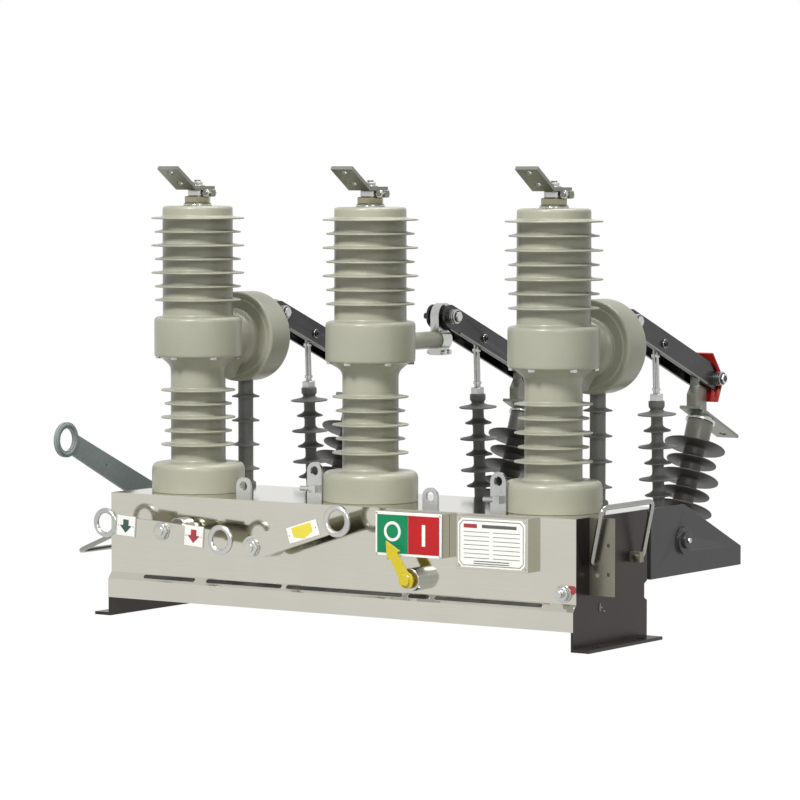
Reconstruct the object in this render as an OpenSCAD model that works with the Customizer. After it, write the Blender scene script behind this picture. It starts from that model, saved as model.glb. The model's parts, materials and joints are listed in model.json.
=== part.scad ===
// Outdoor three-phase pole-mounted circuit breaker with a linked isolating switch.
// Millimetres. X runs along the housing, +Y to the back, +Z up. The origin is the centre of
// the four foot holes on the mounting plane, straight below the middle pole.

/* [Housing] */
// Distance between neighbouring poles
pole_pitch = 340; // [330:1:420]
// Panel length beyond the axis of each outer pole
housing_end = 98; // [90:1:130]
// Depth of the housing from the front panel to the back
housing_depth = 250; // [245:1:300]
// Pole axis behind the front panel
pole_setback = 99; // [90:1:105]
// Height of the housing's top above the feet
housing_top = 200; // [190:1:240]
// Height of the housing's underside above the feet
housing_bottom = 30; // [15:1:40]
// Height at which the front panel starts to step forward
step_top = 71; // [66:1:80]
// Height at which the step ends
step_bottom = 60; // [50:1:62]
// How far the lower band of the panel stands forward
step_out = 9; // [4:1:15]

/* [End plates and feet] */
// Thickness of the end plates
plate_t = 4; // [3:0.5:8]
// Width of the end plates, front to back
plate_w = 209; // [170:1:240]
// Width of the foot flange
foot_w = 28; // [24:1:45]
// Thickness of the foot flange
foot_t = 5; // [3:0.5:8]
// Diameter of the foot holes
foot_hole_d = 13; // [9:0.5:15]
// Distance between the two holes of a foot
foot_hole_pitch = 130; // [90:1:150]

/* [Pole insulators] */
// Radius of the flange that stands on the housing
flange_r = 75.5; // [70:0.5:80]
// Height of that flange
flange_h = 48; // [40:1:60]
// Radius of the lower core
lower_core_r = 44.5; // [36:0.5:50]
// Radius of the lower large sheds
lower_shed_r = 60.5; // [56:0.5:66]
// Height from the housing to the underside of the collar
collar_lift = 220; // [216:1:264]
// Radius of the collar
collar_r = 71; // [66:0.5:76]
// Height of the collar
collar_h = 64; // [50:1:80]
// Radius of the upper core
upper_core_r = 57; // [48:0.5:60]
// Height of the upper core
upper_core_h = 180; // [176:1:216]
// Radius of the upper large sheds
upper_shed_r = 75.5; // [72:0.5:84]
// Height difference between neighbouring sheds
shed_pitch = 22.1; // [18:0.1:24]
// How much smaller the small sheds are in radius
shed_step = 5.5; // [3:0.5:9]

/* [Top terminals] */
// Width of the terminal bar
bar_w = 40; // [30:1:50]
// Thickness of the terminal bar
bar_t = 6; // [4:0.5:10]
// Length of the rising part of the bar
bar_l = 60; // [50:1:75]
// Upward slope of the bar in degrees
bar_slope = 33.5; // [15:0.5:45]
// Diameter of the bar's holes
bar_hole_d = 12; // [9:0.5:14]

/* [Current transformers] */
// Radius of the drum
drum_r = 74; // [60:1:80]
// Thickness of the drum, front to back
drum_w = 59; // [40:1:70]
// Gap between collar and drum
drum_gap = 30; // [20:1:40]
// Radius of the side terminal tube
tube_r = 14; // [12:0.5:17]
// Radius of the lead's rubber tube
lead_r = 12.5; // [10:0.5:14]
// Radius of the lead's sheds
lead_shed_r = 23; // [18:0.5:28]

/* [Isolating switch] */
// Blade pivot behind the pole axis
pivot_y = 204; // [200:1:215]
// Blade pivot above the axis of the side tube
pivot_lift = 37.5; // [36:0.5:44]
// Downward slope of the closed blade in degrees
blade_slope = 20.9; // [16:0.1:24]
// Blade length from its pivot to the bolt at its tip
blade_l = 286; // [270:1:310]
// Depth of the blade's plates
blade_h = 38; // [34:1:40]
// Thickness of each blade plate
blade_t = 4; // [3:0.5:5]
// Clear width between the two blade plates
blade_gap = 28; // [27:0.5:32]
// Radius of the pivot and tip bolts
bolt_r = 5; // [4:0.5:6]
// Distance from the blade pivot to the pull rod's pin, and the crank's throw
throw = 110; // [100:1:120]
// How far the shaft lies behind the blade pivots
shaft_setback = 17; // [10:1:22]
// Depth of the shaft below the top of the housing
shaft_drop = 56.5; // [50:0.5:68]
// Radius of the shaft
shaft_r = 12; // [9:0.5:14.5]
// Radius of the crank pin and of the pin in the blade
link_pin_r = 4; // [3:0.5:4.5]
// Radius of the pull rod's large sheds
rod_shed_r = 31; // [26:0.5:32]
// Backward tilt of the post insulators in degrees
post_tilt = 23.6; // [20:0.1:26]
// Radius of the post insulators' large sheds
post_shed_r = 50; // [42:0.5:52]

/* [Isolator lever] */
// Distance of the lever's middle from the middle of the housing's left end
lever_out = 118; // [108:1:130]
// Length from the shaft to the ring
lever_l = 320; // [280:1:330]
// Upward slope of the lever at rest in degrees
lever_slope = 25; // [20:0.5:32]
// Thickness of the lever
lever_t = 6; // [4:0.5:8]

/* [Front levers and plates] */
// Distance of the front levers from the panel
lever_standoff = 54; // [50:1:70]
// Thickness of the front levers
front_lever_t = 4; // [3:0.5:5]
// Trip lever's pivot from the left end of the panel
trip_inset = 140; // [134:1:160]
// Arm length of the trip lever
trip_arm = 115; // [100:1:120]
// Length of the charging lever
charge_arm = 169; // [150:1:175]
// Width of the position indicator
indicator_w = 122; // [100:1:124]
// Height of the position indicator
indicator_h = 68; // [50:1:68]
// Depth of the position indicator
indicator_d = 22; // [10:1:24]
// Width of the nameplate box
nameplate_w = 129; // [100:1:132]
// Height of the nameplate box
nameplate_h = 82; // [60:1:84]
// Depth of the nameplate box
nameplate_d = 19; // [8:1:24]
// Length of the pointer
pointer_l = 70; // [60:1:76]

/* [Bail handles] */
// Radius of the bails' rod
bail_r = 4; // [3:0.5:4.5]
// Reach of a bail from its hinge
bail_l = 87; // [84:1:92]
// Length of a bail along the end plate
bail_w = 150; // [130:1:156]

/* [Hidden] */
NODES = [
    "housing", "end_plate_left", "end_plate_right",
    "pole_left", "pole_middle", "pole_right",
    "terminal_left", "terminal_middle", "terminal_right",
    "transformer_left", "transformer_right", "lead_left", "lead_right", "side_tube",
    "blade_clamp_left", "blade_clamp_middle", "blade_clamp_right",
    "gusset_left", "gusset_right", "beam",
    "post_left", "post_middle", "post_right",
    "contact_left", "contact_middle", "contact_right",
    "blade_left", "blade_middle", "blade_right",
    "blade_hood_left", "blade_hood_middle", "blade_hood_right",
    "pull_rod_left", "pull_rod_middle", "pull_rod_right",
    "isolator_shaft", "isolator_lever",
    "lifting_lugs", "indicator_box", "nameplate", "ground_stud", "lever_bosses",
    "bail_eyes_left", "bail_bracket_right",
    "trip_lever", "charging_lever", "pointer", "bail_left", "bail_right"
];
node = "all";
$fn = 64;

// Small clearances: a seat between curved faces, a running fit on a pin, and a loose pin.
seat = 0.3;
fit = 0.05;
loose = 1;

// Housing
half_w = pole_pitch + housing_end;
front_y = -pole_setback;
back_y = housing_depth - pole_setback;
outer_x = half_w + plate_t;
notch = [8, 30];

// Poles: heights of the collar, of the tube that leaves it, and of the top
collar_z = housing_top + collar_lift;
tube_z = collar_z + 28;
core_top = collar_z + collar_h + upper_core_h;
taper_h = 15;
round_r = 8;

// Linkage, in the plane of one phase: [y, z]
pivot = [pivot_y, tube_z + pivot_lift];
along = [cos(blade_slope), -sin(blade_slope)];
tip = pivot + blade_l * along;
link = pivot + throw * along;
shaft = [pivot_y + shaft_setback, housing_top - shaft_drop];
crank_pin = shaft + throw * along;
rod_vector = link - crank_pin;
rod_l = norm(rod_vector);
rod_lean = atan2(-rod_vector[0], rod_vector[1]);

// Post insulators: the seat of the fixed contact, and the sloping top of the beam
post_axis = [sin(post_tilt), cos(post_tilt)];
contact_seat = tip + [-16, -63];
slope_start = [shaft[0] + 2, housing_top];
post_h = (contact_seat - slope_start) * post_axis;
post_base = contact_seat - post_h * post_axis;
post_cap_r = 21;
post_core_r = 17;
post_small_r = post_shed_r - 9;
post_shed_pitch = 27;
post_cap_h = 43;

// Gussets and beam
gusset_t = 5;
gusset_overlap = 31;
gusset_bottom = shaft[1] - 53.5;
gusset_back = post_base[0] + 31;
beam_t = 5;
beam_front = post_base[0] - 22;
bearing_r = 22;
bearing_h = 5;

// Blade parts
plate_in = blade_gap / 2;
plate_out = plate_in + blade_t;
ear_half = 8;
ear_r = 21.5;
clamp_r = tube_r + 3;
clamp_y = [pivot_y - 20, pivot_y + 6];
washer_r = 9.3;
hood_half = 24;
hood_t = 2.5;
hood_top = [blade_l - 34.6, 30.8];
hood_fold = [blade_l + 12.2, 4.4];
hood_bottom = [blade_l + 9, -37];
tongue_half = 8.5;

// Crank and pull rod
crank_in = 10;
crank_t = 4;
crank_hub_r = shaft_r + 6;
crank_eye_r = link_pin_r + 7;
rod_eye_half = 6;
rod_shed_pitch = 26;
rod_core_r = 9.5;

// Isolator lever
lever_x = -(outer_x + lever_out);
ring_r = 29;
ring_hole_r = 19;

// Front items
lever_y = front_y - lever_standoff;
trip_x = -half_w + trip_inset;
trip_z = housing_top - 52;
trip_tilt = 3.9;
trip_ring_r = 23.5;
trip_ring_hole_r = 15.5;
lever_shaft_r = 7;
boss_r = 18;
boss_h = 14;
charge_gap = 62;
charge_x = trip_x + trip_arm + charge_gap;
charge_z = housing_top - 69;
charge_tilt = 17.2;
charge_ring_r = 25;
charge_ring_hole_r = 16;
indicator_gap = 106;
indicator_x = charge_x + charge_arm + indicator_gap;
indicator_z = housing_top - 2.5 - indicator_h / 2;
nameplate_gap = 24;
nameplate_x = indicator_x + indicator_w / 2 + nameplate_gap + nameplate_w / 2;
nameplate_z = housing_top - 2 - nameplate_h / 2;
pointer_shift = 4.5;
pointer_drop = 35;
pointer_x = indicator_x + pointer_shift;
pointer_z = indicator_z - indicator_h / 2 - pointer_drop;
pointer_gap = 12;
pointer_t = 3;
pointer_tilt = 32;
pointer_boss_h = indicator_d + 6;
pointer_y = front_y - indicator_d - pointer_gap;
stud_x = half_w - 17;
stud_z = step_top + 16;

// Bails
hinge_x = outer_x + 10;
hinge_z = housing_top - 69;
bail_right_angle = 12;
bail_left_angle = -113;
stub_l = 26;
bracket_t = 3;

// A plate in the YZ plane from x0 to x1: a flat shape's x runs along Y and its y along Z.
module yz(x0, x1) {
    translate([x0, 0, 0]) rotate([90, 0, 90]) linear_extrude(x1 - x0) children();
}

// A plate in the XZ plane from y0 (front) to y1 (back).
module xz(y0, y1) {
    translate([0, y1, 0]) rotate([90, 0, 0]) linear_extrude(y1 - y0) children();
}

// A round bar along X.
module x_bar(x0, x1, r) {
    translate([x0, 0, 0]) rotate([0, 90, 0]) cylinder(h = x1 - x0, r = r);
}

// A round bar along Y.
module y_bar(y0, y1, r) {
    translate([0, y1, 0]) rotate([90, 0, 0]) cylinder(h = y1 - y0, r = r);
}

// A flat link with a round end at each pin.
module strap(length, r0, r1) {
    circle(r = r0);
    translate([length, 0]) circle(r = r1);
    polygon([[0, r0], [length, r1], [length, -r1], [0, -r0]]);
}

// One shed of an insulator's outline, from its underside up: it slopes on top and is flat below.
function shed(z, core, r, edge = 2.6, slope = 5) =
    [[core, z - edge / 2], [r, z - edge / 2], [r, z + edge / 2], [core, z + edge / 2 + slope]];

// A rounded outer edge of an outline, from below (end = 1) or from above (end = -1).
function edge_arc(z, r, fillet) =
    [for (a = [0:15:90]) [r - fillet + fillet * cos(a), z - fillet + fillet * sin(a)]];

function flat(lists) = [for (l = lists, p = l) p];

// Point of the line p-q at the height w.
function at_height(p, q, w) = p + (q - p) * (w - p[1]) / (q[1] - p[1]);

// Front outline of the housing, from the top down to a chosen height.
function front_outline(bottom) = [
    [front_y, housing_top], [front_y, step_top],
    [front_y - step_out, step_bottom], [front_y - step_out, bottom]
];

// Housing: a closed sheet-metal box with a stepped front panel and long slots along the step.
module housing() {
    // Ends of each slot as fractions of the distance between poles.
    slots = [[-1.097, -0.794], [-0.726, -0.291], [-0.265, 0.382], [0.415, 0.529], [0.559, 1.132]];
    slot_h = 5;
    slot_depth = 6;
    slot_z = step_top - slot_h - 1.5;
    color("lightgray") difference() {
        yz(-half_w, half_w)
            polygon(concat(front_outline(housing_bottom), [
                [front_y + plate_w - notch[0], housing_bottom],
                [front_y + plate_w - notch[0], gusset_bottom],
                [back_y, gusset_bottom], [back_y, housing_top]]));
        for (s = slots)
            translate([s[0] * pole_pitch, 0, slot_z]) xz(front_y - step_out - 1, front_y + slot_depth)
                square([(s[1] - s[0]) * pole_pitch, slot_h]);
    }
}

// End plate with its foot: it follows the panel's step, and a notch in its back edge matches it.
module end_plate(side) {
    back = front_y + plate_w;
    mirror([side > 0 ? 0 : 1, 0, 0]) color("dimgray") difference() {
        union() {
            yz(half_w, outer_x)
                polygon(concat(front_outline(0), [
                    [back, 0], [back, step_bottom], [back - notch[0], step_bottom + 4],
                    [back - notch[0], step_bottom + notch[1] - 4],
                    [back, step_bottom + notch[1]], [back, housing_top]]));
            translate([outer_x - 0.5, front_y - step_out, 0])
                cube([foot_w + 0.5, plate_w + step_out, foot_t]);
        }
        for (s = [-1, 1])
            translate([outer_x + foot_w / 2, s * foot_hole_pitch / 2, -1])
                cylinder(h = foot_t + 2, d = foot_hole_d);
    }
}

// Pole insulator: one cast body with flange, lower core, collar and upper core, all with sheds.
module pole(i) {
    lower_shed_z = [for (k = [4:-1:0]) collar_z - 55 - k * shed_pitch];
    upper_shed_z = [for (k = [6:-1:0]) core_top - 20 - k * shed_pitch];
    lower_r = [for (k = [4:-1:0]) lower_shed_r - (k % 2) * shed_step];
    upper_r = [for (k = [6:-1:0]) upper_shed_r - (k % 2 == 1 || k == 6 ? 1 : 0) * shed_step];
    outline = concat(
        [[0, housing_top], [flange_r, housing_top]],
        edge_arc(housing_top + flange_h, flange_r, round_r),
        [[lower_core_r, housing_top + flange_h]],
        flat([for (k = [0:4]) shed(lower_shed_z[k], lower_core_r, lower_r[k])]),
        [[lower_core_r, collar_z - taper_h], [collar_r - 11, collar_z], [collar_r, collar_z]],
        edge_arc(collar_z + collar_h, collar_r, round_r),
        [[upper_core_r, collar_z + collar_h]],
        flat([for (k = [0:6]) shed(upper_shed_z[k], upper_core_r, upper_r[k])]),
        edge_arc(core_top, upper_core_r, round_r / 2),
        [[0, core_top]]);
    color("darkseagreen") translate([i * pole_pitch, 0, 0]) rotate_extrude($fn = 96) polygon(outline);
}

// Top terminal: washer, hexagon nut, clamp with a pinch bolt, stud, and the bent connection bar.
module terminal(i) {
    washer_h = 4.5;
    nut_h = 11;
    nut_r = 22;
    clamp_h = 10.5;
    clamp_w = 12;
    nut_z = core_top + washer_h;
    clamp_z = nut_z + nut_h;
    bar_z = clamp_z + clamp_h;
    bar_back = 20;
    bend_y = -31;
    bend = [bend_y, bar_z];
    rise = bar_l * [-cos(bar_slope), sin(bar_slope)];
    hole_pitch = 31.6;
    hole_edge = 11;
    translate([i * pole_pitch, 0, 0]) {
        color("silver") {
            translate([0, 0, core_top]) cylinder(h = washer_h, r = nut_r);
            translate([0, 0, nut_z]) cylinder(h = nut_h, r = nut_r, $fn = 6);
            translate([0, 0, clamp_z]) cylinder(h = clamp_h, r = 15);
            translate([0, -clamp_w / 2, clamp_z]) cube([32, clamp_w, clamp_h]);
            translate([24, 0, clamp_z + clamp_h / 2]) y_bar(-clamp_w / 2 - 7, clamp_w / 2 + 7, 4);
            translate([0, 0, bar_z]) cylinder(h = bar_t + 10, r = 5);
            translate([0, 0, bar_z + bar_t - 0.5]) cylinder(h = 7, r = 9, $fn = 6);
            difference() {
                yz(-bar_w / 2, bar_w / 2) polygon([
                    [bar_back, bar_z], bend, bend + rise,
                    bend + rise + bar_t * [sin(bar_slope), cos(bar_slope)],
                    bend + bar_t * [tan(bar_slope / 2), 1], [bar_back, bar_z + bar_t]]);
                for (s = [0, 1])
                    translate([0, bend_y, bar_z]) rotate([-bar_slope, 0, 0])
                        translate([0, -bar_l + hole_edge + s * hole_pitch, -1])
                            cylinder(h = bar_t + 2, d = bar_hole_d);
            }
        }
    }
}

// Cast current transformer: neck to the collar with a web under it, drum, and a rear stud.
module transformer(i) {
    front = collar_r + drum_gap;
    back = front + drum_w;
    neck_r = 39.5;
    web_drop = 68;
    // The web's two edges leave the neck a millimetre inside its tangents.
    web_r = neck_r - 1;
    touch = web_r * [sqrt(1 - pow(web_r / web_drop, 2)), web_r / web_drop];
    color("darkseagreen") translate([i * pole_pitch, 0, 0]) difference() {
        union() {
            translate([0, 0, tube_z]) rotate([-90, 0, 0]) rotate_extrude($fn = 96)
                polygon(concat(
                    [[0, collar_r - 40], [neck_r, collar_r - 40], [neck_r, front - 9], [46, front - 5],
                        [46, front], [drum_r - 6, front], [drum_r, front + 6]],
                    [[drum_r, back - 6], [drum_r - 6, back], [tube_r, back]],
                    [[tube_r, clamp_y[1] + 4], [0, clamp_y[1] + 4]]));
            translate([0, 0, tube_z]) xz(lower_core_r - 12, front - 9)
                polygon([[-touch[0], -touch[1]], [-4, -web_drop], [4, -web_drop],
                    [touch[0], -touch[1]], [0, 0]]);
        }
        rotate_extrude($fn = 96) polygon([
            [0, tube_z - web_drop - 5], [lower_core_r + seat, tube_z - web_drop - 5],
            [lower_core_r + seat, collar_z - taper_h - seat], [collar_r - 11 + seat, collar_z - seat],
            [collar_r + seat, collar_z - seat], [collar_r + seat, collar_z + collar_h + 10],
            [0, collar_z + collar_h + 10]]);
    }
}

// Rubber-covered lead from the drum down into the housing, with its own sheds.
module lead(i) {
    drum_mid = collar_r + drum_gap + drum_w / 2;
    top = tube_z - drum_r + 6;
    shed_z = [for (k = [0:3]) housing_top + 28 + k * (top - housing_top - 60) / 3];
    color("gray") translate([i * pole_pitch, 0, 0]) difference() {
        translate([0, drum_mid, 0]) rotate_extrude() polygon(concat(
            [[0, housing_top], [lead_r + 4, housing_top], [lead_r + 4, housing_top + 6],
                [lead_r, housing_top + 8]],
            flat([for (z = shed_z) shed(z, lead_r, lead_shed_r, 2, 4)]),
            [[lead_r, top], [0, top]]));
        translate([0, 0, tube_z]) y_bar(0, 2 * drum_mid, drum_r + seat);
    }
}

// Side tube of the middle pole, which carries its blade clamp.
module side_tube() {
    color("darkseagreen") difference() {
        translate([0, 0, tube_z]) y_bar(collar_r - 30, clamp_y[1] + 4, tube_r);
        translate([0, 0, collar_z - 1]) cylinder(h = collar_h + 2, r = collar_r + seat, $fn = 96);
    }
}

// Clamp on the tube: split ring, ear with the blade's pivot bore, and two pinch bolts below.
module blade_clamp(i) {
    pinch_z = tube_z - clamp_r - 3;
    color("silver") translate([i * pole_pitch, 0, 0]) difference() {
        union() {
            translate([0, 0, tube_z]) y_bar(clamp_y[0], clamp_y[1], clamp_r);
            translate([0, pivot[0], pivot[1]]) x_bar(-ear_half, ear_half, ear_r);
            yz(-ear_half, ear_half) polygon([
                [clamp_y[0], tube_z], [clamp_y[1], tube_z],
                [pivot[0] + ear_r - 1, pivot[1]], [pivot[0] - ear_r, pivot[1]]]);
            translate([-11, clamp_y[0], pinch_z - 5]) cube([22, clamp_y[1] - clamp_y[0], 12]);
            for (y = [clamp_y[0] + 6, clamp_y[1] - 6])
                translate([0, y, pinch_z]) x_bar(-17, 17, 4);
        }
        translate([0, 0, tube_z]) y_bar(clamp_y[0] - 5, clamp_y[1] + 5, tube_r + fit);
        translate([0, pivot[0], pivot[1]]) x_bar(-ear_half - 1, ear_half + 1, bolt_r + fit);
    }
}

// Gusset: side plate that carries shaft and beam, bolted to the housing's end.
module gusset(side) {
    mirror([side > 0 ? 0 : 1, 0, 0]) color("dimgray") difference() {
        union() {
            yz(half_w, half_w + gusset_t) polygon([
                [back_y - gusset_overlap, gusset_bottom],
                [back_y - gusset_overlap, housing_top], slope_start,
                [gusset_back, slope_start[1] - (gusset_back - slope_start[0]) * tan(post_tilt)],
                [gusset_back, gusset_bottom]]);
            translate([0, shaft[0], shaft[1]]) x_bar(half_w, half_w + gusset_t + bearing_h, bearing_r);
        }
        translate([0, shaft[0], shaft[1]])
            x_bar(half_w - 1, half_w + gusset_t + bearing_h + 1, shaft_r + fit);
    }
}

// Beam between the gussets: sloping top plate under the posts, back plate and bottom lip.
module beam() {
    top_at = function (y) slope_start[1] - (y - slope_start[0]) * tan(post_tilt);
    drop = beam_t / cos(post_tilt);
    color("dimgray") yz(-half_w, half_w) polygon([
        [beam_front, top_at(beam_front)], [gusset_back - 1, top_at(gusset_back - 1)],
        [gusset_back - 1, gusset_bottom + 1], [beam_front + 8, gusset_bottom + 1],
        [beam_front + 8, gusset_bottom + 1 + beam_t],
        [gusset_back - 1 - beam_t, gusset_bottom + 1 + beam_t],
        [gusset_back - 1 - beam_t, top_at(gusset_back - 1 - beam_t) - drop],
        [beam_front, top_at(beam_front) - drop]]);
}

// Post insulator, square to the beam's sloping plate.
module post(i) {
    shed_z = [for (k = [4:-1:0]) post_h - 51 - k * post_shed_pitch];
    shed_radius = [for (k = [4:-1:0]) k % 2 == 0 ? post_shed_r : post_small_r];
    color("dimgray") translate([i * pole_pitch, post_base[0], post_base[1]]) rotate([-post_tilt, 0, 0])
        rotate_extrude($fn = 96) polygon(concat(
            [[0, 0], [post_cap_r, 0], [post_cap_r, 12], [post_core_r, 14]],
            flat([for (k = [0:4]) shed(shed_z[k], post_core_r, shed_radius[k], 3, 6)]),
            [[post_cap_r, post_h - post_cap_h], [post_cap_r, post_h - 5],
                [post_cap_r - 2, post_h - 5], [post_cap_r - 2, post_h], [0, post_h]]));
}

// Fixed contact: the outgoing bar on the post's cap, and the tongue between the blade's plates.
module contact(i) {
    bar_half = 20;
    front = -40;
    back = 96;
    hole_at = 78;
    top_at = function (y) contact_seat[1] + 5 / cos(post_tilt) - (y - contact_seat[0]) * tan(post_tilt);
    tongue_front = tip[0] - 49;
    tongue_back = tip[0] - 13;
    color("silver") translate([i * pole_pitch, 0, 0]) {
        difference() {
            translate([0, contact_seat[0], contact_seat[1]]) rotate([-post_tilt, 0, 0])
                translate([-bar_half, front, 0]) cube([2 * bar_half, back - front, 5]);
            translate([0, contact_seat[0], contact_seat[1]]) rotate([-post_tilt, 0, 0])
                translate([0, hole_at, -1]) cylinder(h = 7, d = bar_hole_d);
        }
        yz(-tongue_half, tongue_half) polygon([
            [tongue_front, top_at(tongue_front) - 1], [tongue_front, tip[1] - 24],
            [tongue_front + 11, tip[1] - 10], [tongue_front + 11, tip[1] + 21],
            [tongue_back, tip[1] + 11], [tongue_back, top_at(tongue_back) - 1]]);
    }
}

// Blade: two plates on a pivot bolt, the pull rod's pin, and the sprung bolt at the tip.
module blade(i) {
    h = blade_h / 2;
    color("slategray") translate([i * pole_pitch, pivot[0], pivot[1]]) rotate([-blade_slope, 0, 0]) {
        for (s = [-1, 1])
            yz(s > 0 ? plate_in : -plate_out, s > 0 ? plate_out : -plate_in) polygon([
                [0, h], at_height(hood_top, hood_fold, h), hood_fold,
                at_height(hood_fold, hood_bottom, -h), [0, -h]]);
        for (s = [0, 1]) mirror([s, 0, 0]) x_bar(plate_in, plate_out, h);
        x_bar(-plate_out - 14, plate_out + 16, bolt_r);
        for (s = [0, 1]) mirror([s, 0, 0]) x_bar(ear_half + 0.5, plate_in + 1, washer_r);
        x_bar(plate_out - 0.5, plate_out + 13, washer_r);
        translate([0, throw, 0]) {
            x_bar(-plate_out - 6, plate_out + 7, link_pin_r);
            x_bar(plate_out - 0.5, plate_out + 4, link_pin_r + 2.5);
        }
        translate([0, blade_l, 0]) {
            x_bar(-plate_out - 16, plate_out + 18, bolt_r);
            for (s = [0, 1]) mirror([s, 0, 0]) x_bar(plate_out - 0.5, plate_out + 14, washer_r);
        }
    }
}

// Red hood over the blade's tip: a folded sheet that the plates' ends meet.
module blade_hood(i) {
    color("firebrick") translate([i * pole_pitch, pivot[0], pivot[1]]) rotate([-blade_slope, 0, 0])
        yz(-hood_half, hood_half) polygon([hood_top, hood_fold, hood_bottom,
            hood_bottom + [hood_t, 0], hood_fold + [hood_t + 0.4, 0.6], hood_top + [1.2, 2.2]]);
}

// Pull rod: eye on the blade's pin, two link rods, ribbed rod insulator, and eye on the crank.
module pull_rod(i) {
    cap_z = -88;
    shed_z = [for (k = [5:-1:0]) cap_z - 26 - k * rod_shed_pitch];
    shed_radius = [for (k = [5:-1:0]) k % 2 == 0 ? rod_shed_r : rod_shed_r - 9];
    color("gray") translate([i * pole_pitch, link[0], link[1]]) rotate([rod_lean, 0, 0])
        difference() {
            union() {
                x_bar(-rod_eye_half, rod_eye_half, link_pin_r + 4);
                for (s = [-1, 1]) translate([s * 3.2, 0, cap_z - 2]) cylinder(h = -cap_z - 4, r = 2.6);
                translate([0, 0, cap_z]) cylinder(h = 9, r = 9);
                rotate_extrude() polygon(concat(
                    [[0, -rod_l + 8], [7, -rod_l + 8], [7, -rod_l + 42], [rod_core_r, -rod_l + 44]],
                    flat([for (k = [0:5]) shed(shed_z[k], rod_core_r, shed_radius[k], 2, 6)]),
                    [[13, cap_z - 14], [13, cap_z], [0, cap_z]]));
                translate([0, 0, -rod_l]) x_bar(-rod_eye_half, rod_eye_half, crank_eye_r);
            }
            x_bar(-rod_eye_half - 1, rod_eye_half + 1, link_pin_r + fit);
            translate([0, 0, -rod_l]) x_bar(-rod_eye_half - 1, rod_eye_half + 1, link_pin_r + loose);
        }
}

// Isolator shaft through both gussets, with a forked crank and pin for each phase.
module isolator_shaft() {
    end_l = lever_x - lever_t / 2 - 8;
    end_r = half_w + gusset_t + bearing_h + 4;
    color("silver") translate([0, shaft[0], shaft[1]]) {
        x_bar(end_l, end_r, shaft_r);
        for (i = [-1, 0, 1]) translate([i * pole_pitch, 0, 0]) rotate([-blade_slope, 0, 0]) {
            yz(crank_in, crank_in + crank_t) strap(throw, crank_hub_r, crank_eye_r);
            yz(-crank_in - crank_t, -crank_in) strap(throw, crank_hub_r, crank_eye_r);
            translate([0, throw, 0]) x_bar(-crank_in - crank_t - 5, crank_in + crank_t + 5, link_pin_r);
        }
    }
}

// Hand lever on the shaft's outer end, with its hook-stick ring.
module isolator_lever() {
    hub_r = shaft_r + 10;
    color("slategray") translate([0, shaft[0], shaft[1]]) rotate([-lever_slope, 0, 0]) difference() {
        union() {
            yz(lever_x - lever_t / 2, lever_x + lever_t / 2) difference() {
                mirror([1, 0]) union() {
                    strap(lever_l, hub_r, 17);
                    translate([lever_l, 0]) circle(r = ring_r);
                }
                translate([-lever_l, 0]) circle(r = ring_hole_r);
                translate([-lever_l + 115, 0]) circle(r = 3);
            }
            x_bar(lever_x - lever_t / 2, lever_x + lever_t / 2 + 12, hub_r - 4);
        }
        x_bar(lever_x - lever_t, lever_x + lever_t + 20, shaft_r + fit);
    }
}

// Lifting lugs on the housing: two low ones and two tall ones with a cross bolt.
module lifting_lugs() {
    // [x, y, height of the hole above the housing]
    low_h = 16;
    tall_h = 48;
    lugs = [[-pole_pitch + 121, -39, low_h], [-69, -54, tall_h],
        [140, -39, low_h], [pole_pitch - 57, -66, tall_h]];
    color("silver") for (l = lugs) translate([l[0], l[1], housing_top]) {
        xz(-2.5, 2.5) difference() {
            union() {
                translate([-14, 0]) square([28, l[2]]);
                translate([0, l[2]]) circle(r = 14);
            }
            translate([0, l[2]]) circle(d = 15);
        }
        if (l[2] == tall_h) {
            translate([-22, -8, 20]) x_bar(0, 30, 4);
            translate([-4, -12, 14]) cube([12, 10, 12]);
        }
    }
}

// Position indicator: a shallow box on the panel.
module indicator_box() {
    color("seagreen") translate([indicator_x - indicator_w / 2, front_y - indicator_d,
        indicator_z - indicator_h / 2]) cube([indicator_w, indicator_d, indicator_h]);
}

// Nameplate: a shallow box on the panel.
module nameplate() {
    color("gainsboro") translate([nameplate_x - nameplate_w / 2, front_y - nameplate_d,
        nameplate_z - nameplate_h / 2]) cube([nameplate_w, nameplate_d, nameplate_h]);
}

// Earthing stud with its large washer.
module ground_stud() {
    color("silver") translate([stud_x, 0, stud_z]) {
        y_bar(front_y - 3, front_y, 13);
        y_bar(front_y - 10, front_y - 3, 10);
        y_bar(front_y - 20, front_y - 10, 6);
    }
}

// Bosses on the panel in which the two levers and the pointer turn.
module lever_bosses() {
    color("silver") {
        for (p = [[trip_x, trip_z], [charge_x, charge_z]])
            translate([p[0], 0, p[1]]) difference() {
                y_bar(front_y - boss_h, front_y, boss_r);
                y_bar(front_y - boss_h - 1, front_y - 1, lever_shaft_r + fit);
            }
        translate([pointer_x, 0, pointer_z]) difference() {
            y_bar(front_y - pointer_boss_h, front_y, boss_r);
            y_bar(front_y - pointer_boss_h - 1, front_y - 1, bolt_r + fit);
        }
    }
}

// Eyes on the left end plate for its bail.
module bail_eye(y) {
    color("silver") difference() {
        translate([outer_x, y - 6, hinge_z - 8]) cube([hinge_x - outer_x + 8, 12, 16]);
        translate([hinge_x, 0, hinge_z]) y_bar(y - 7, y + 7, bail_r + fit);
    }
}

module bail_eyes_left() {
    mirror([1, 0, 0]) for (s = [-1, 1]) bail_eye(4 + s * (bail_w / 2 - 16));
}

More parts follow.
